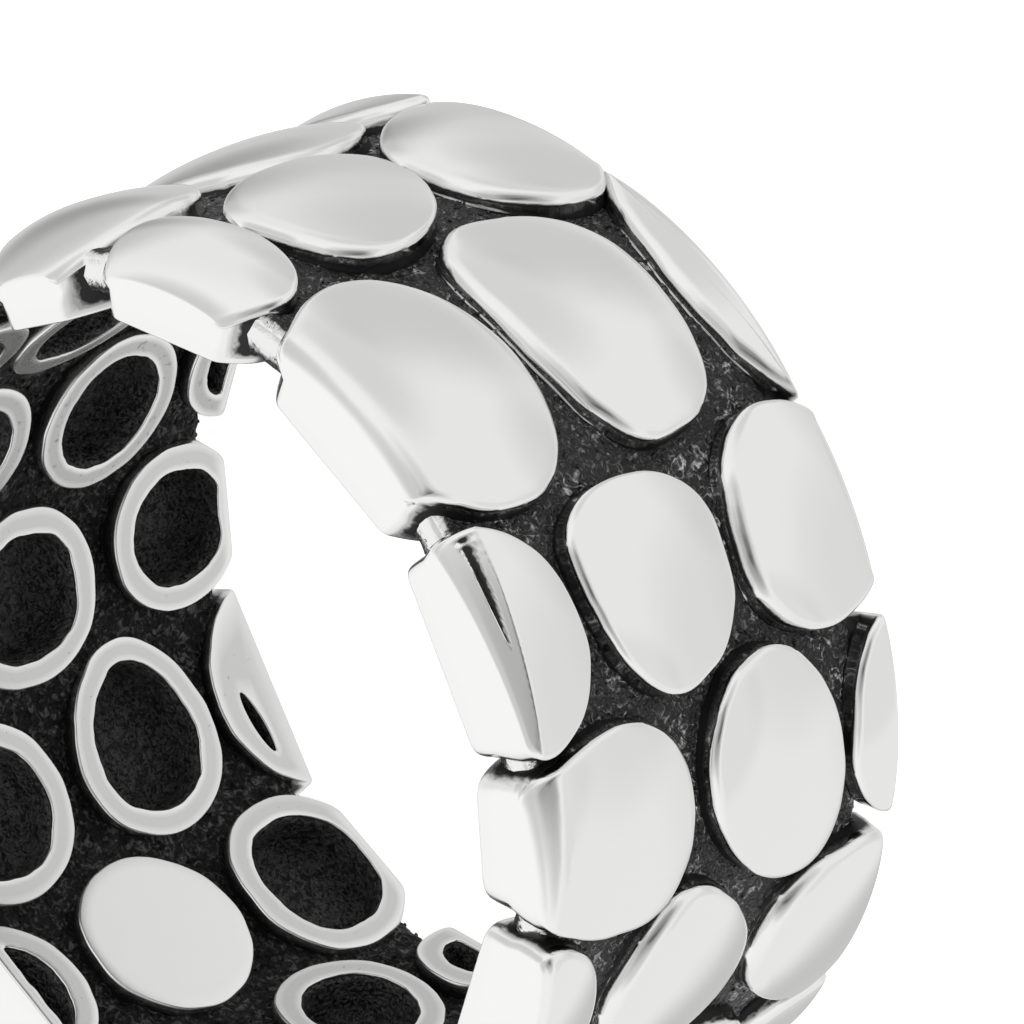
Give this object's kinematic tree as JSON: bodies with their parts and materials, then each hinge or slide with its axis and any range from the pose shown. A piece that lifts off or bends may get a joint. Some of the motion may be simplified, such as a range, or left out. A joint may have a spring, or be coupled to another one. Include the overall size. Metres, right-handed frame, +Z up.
{
  "type": "band ring",
  "caption": "Wide cast silver band ring with polished raised pebbles on a dark recessed ground, each pebble hollow behind with a flat rim inside the band.",
  "frame": {"origin": "on the axis of the finger hole, in the lower end plane of the band, where the ring lies on its side", "axes": "+Z up along the axis of the finger hole; -Y is the front of the band, the side that faces the viewer; +X to the right"},
  "size_m": [0.022, 0.022, 0.0102],
  "materials": {
    "polished_silver": "mirror polished sterling silver",
    "oxidised_silver": "blackened rough cast silver"
  },
  "bodies": {
    "root": {"cast_band": "polished_silver"}
  },
  "joints": []
}
